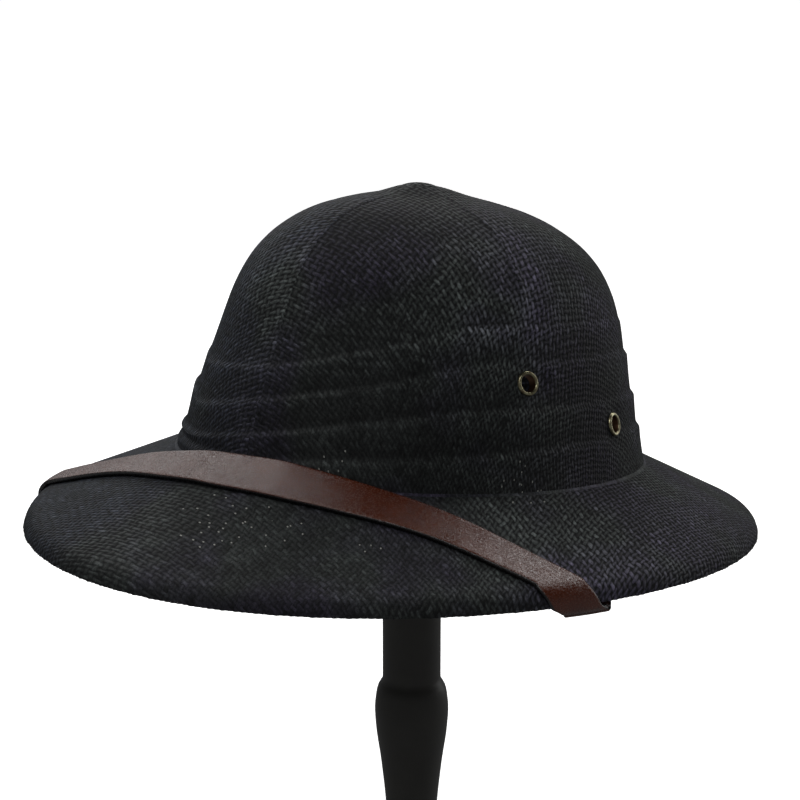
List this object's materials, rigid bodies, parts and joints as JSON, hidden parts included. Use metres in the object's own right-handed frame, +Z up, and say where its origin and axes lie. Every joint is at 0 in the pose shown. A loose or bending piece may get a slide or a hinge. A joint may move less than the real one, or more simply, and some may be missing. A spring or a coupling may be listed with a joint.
{
  "type": "straw jungle hat on a display stand",
  "caption": "Black woven straw jungle hat with pressed folds, brass eyelets and a brown leather chin strap over its brim, on a turned black stand.",
  "frame": {"origin": "centre of the stand's underside", "axes": "+Z up along the stand's post, -Y towards the hat's front, +X towards the wearer's left"},
  "size_m": [0.2834, 0.3305, 0.3716],
  "materials": {
    "straw": "black woven paper straw, lightly waxed",
    "strap": "worn brown leather",
    "eyelets": "antique brass",
    "stand": "black lacquer"
  },
  "bodies": {
    "root": {"crown": "straw", "brim": "straw", "top_button": "straw", "eyelet_left_front": "eyelets", "eyelet_left_rear": "eyelets", "eyelet_right_front": "eyelets", "eyelet_right_rear": "eyelets", "chin_strap": "strap", "stand_head": "stand", "stand_post": "stand", "stand_base": "stand"}
  },
  "joints": []
}
